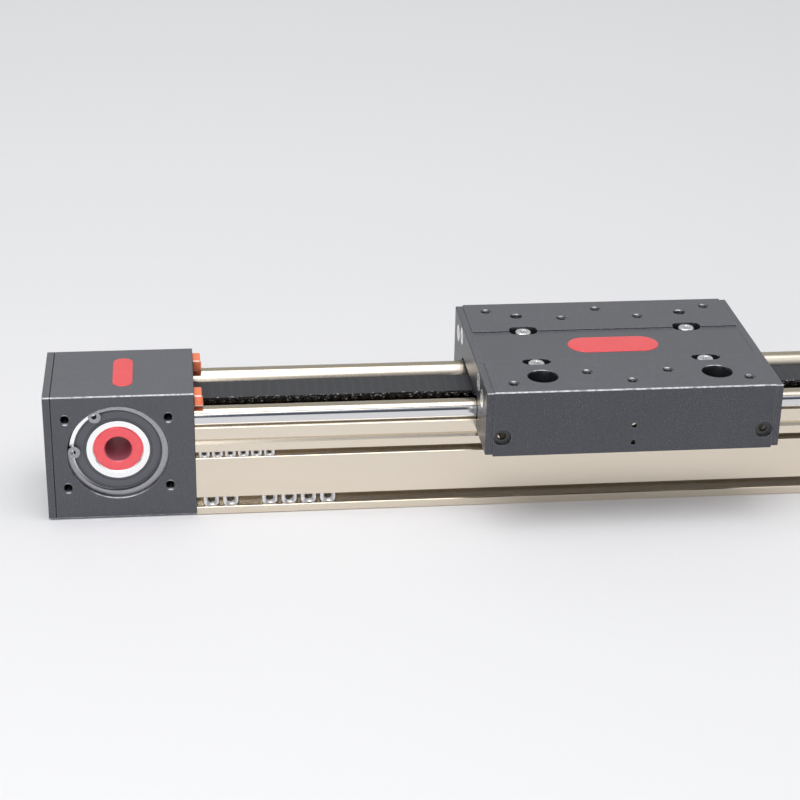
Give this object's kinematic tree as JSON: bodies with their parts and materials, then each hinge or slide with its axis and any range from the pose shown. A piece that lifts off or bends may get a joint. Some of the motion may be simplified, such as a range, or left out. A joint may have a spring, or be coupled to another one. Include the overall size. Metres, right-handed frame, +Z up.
{
  "type": "belt driven linear axis",
  "caption": "Linear axis: roller carriage on twin steel shafts in an extruded rail, pulled by a toothed belt between two bearing housings.",
  "frame": {"origin": "middle of the length and width, on the underside of the rail", "axes": "+X along the rail from the drive end to the idler end, +Y to the rear side, +Z up through the carriage"},
  "size_m": [0.62, 0.12, 0.0798],
  "materials": {
    "champagne_anodised": "satin champagne anodised extrusion",
    "ground_shaft": "ground and polished steel",
    "black_anodised": "fine bead-blasted, black anodised",
    "zinc_steel": "bright zinc plate",
    "black_steel": "black oxide",
    "bearing_steel": "ground bearing steel",
    "seal_rubber": "matt moulded rubber",
    "orange_rubber": "moulded polyurethane",
    "red_anodised": "satin red anodised",
    "red_badge": "smooth printed film, no lettering",
    "belt_rubber": "moulded neoprene with a ground back",
    "clamp_aluminium": "milled",
    "felt": "pressed wool felt"
  },
  "bodies": {
    "base": {"rail_extrusion": "champagne_anodised", "guide_shaft_front": "ground_shaft", "guide_shaft_rear": "ground_shaft", "upper_slot_nuts": "zinc_steel", "lower_slot_nuts": "zinc_steel", "timing_belt": "belt_rubber", "drive_housing": "black_anodised", "drive_end_cover": "black_anodised", "drive_cover_screws": "black_steel", "drive_housing_screws": "black_steel", "drive_bearing_outer_rings": "bearing_steel", "drive_bearing_balls": "bearing_steel", "drive_bearing_seals": "seal_rubber", "drive_circlips": "black_steel", "drive_bumpers": "orange_rubber", "idler_housing": "black_anodised", "idler_end_cover": "black_anodised", "idler_cover_screws": "black_steel", "idler_housing_screws": "black_steel", "idler_bearing_outer_rings": "bearing_steel", "idler_bearing_balls": "bearing_steel", "idler_bearing_seals": "seal_rubber", "idler_circlips": "black_steel", "idler_bumpers": "orange_rubber", "drive_badge": "red_badge"},
    "carriage": {"carriage_block": "black_anodised", "end_plate_drive_side": "black_anodised", "end_plate_idler_side": "black_anodised", "end_plate_screws": "zinc_steel", "belt_clamp_drive_side": "clamp_aluminium", "belt_clamp_idler_side": "clamp_aluminium", "belt_clamp_screws": "zinc_steel", "tooth_plate_drive_side": "clamp_aluminium", "tooth_plate_idler_side": "clamp_aluminium", "tooth_plate_screws": "black_steel", "roller_studs": "bearing_steel", "eccentric_bushes": "black_steel", "roller_nuts": "black_steel", "roller_inner_rings": "bearing_steel", "roller_shields": "seal_rubber", "shaft_wipers": "seal_rubber", "lubricator_felts": "felt", "carriage_badge": "red_badge"},
    "drive_shaft": {"drive_pulley": "red_anodised", "drive_bearing_inner_rings": "bearing_steel"},
    "idler_shaft": {"idler_pulley": "red_anodised", "idler_bearing_inner_rings": "bearing_steel"},
    "roller_front_drive": {"track_roller_front_drive": "bearing_steel"},
    "roller_front_idler": {"track_roller_front_idler": "bearing_steel"},
    "roller_rear_drive": {"track_roller_rear_drive": "bearing_steel"},
    "roller_rear_idler": {"track_roller_rear_idler": "bearing_steel"}
  },
  "joints": [
    {"name": "carriage_slide", "type": "slide", "parent": "base", "child": "carriage", "axis": [1, 0, 0], "range_m": [-0.143, 0.157], "deforming": ["timing_belt"]},
    {"name": "drive_shaft_turn", "type": "hinge", "parent": "base", "child": "drive_shaft", "pos_m": [-0.2725, 0, 0.0381], "axis": [0, 1, 0], "continuous": true},
    {"name": "idler_shaft_turn", "type": "hinge", "parent": "base", "child": "idler_shaft", "pos_m": [0.2725, 0, 0.0381], "axis": [0, 1, 0], "continuous": true},
    {"name": "roller_front_drive_turn", "type": "hinge", "parent": "carriage", "child": "roller_front_drive", "pos_m": [-0.0532, -0.041, 0.055], "axis": [0, 0, 1], "continuous": true},
    {"name": "roller_front_idler_turn", "type": "hinge", "parent": "carriage", "child": "roller_front_idler", "pos_m": [0.0392, -0.041, 0.055], "axis": [0, 0, 1], "continuous": true},
    {"name": "roller_rear_drive_turn", "type": "hinge", "parent": "carriage", "child": "roller_rear_drive", "pos_m": [-0.0532, 0.041, 0.055], "axis": [0, 0, 1], "continuous": true},
    {"name": "roller_rear_idler_turn", "type": "hinge", "parent": "carriage", "child": "roller_rear_idler", "pos_m": [0.0392, 0.041, 0.055], "axis": [0, 0, 1], "continuous": true}
  ],
  "couplings": [
    {"joint": "drive_shaft_turn", "follows": "carriage_slide", "rad_per_m": 50.266},
    {"joint": "idler_shaft_turn", "follows": "carriage_slide", "rad_per_m": 50.266},
    {"joint": "roller_front_drive_turn", "follows": "carriage_slide", "rad_per_m": 82.169},
    {"joint": "roller_front_idler_turn", "follows": "carriage_slide", "rad_per_m": 82.169},
    {"joint": "roller_rear_drive_turn", "follows": "carriage_slide", "rad_per_m": -82.169},
    {"joint": "roller_rear_idler_turn", "follows": "carriage_slide", "rad_per_m": -82.169}
  ]
}
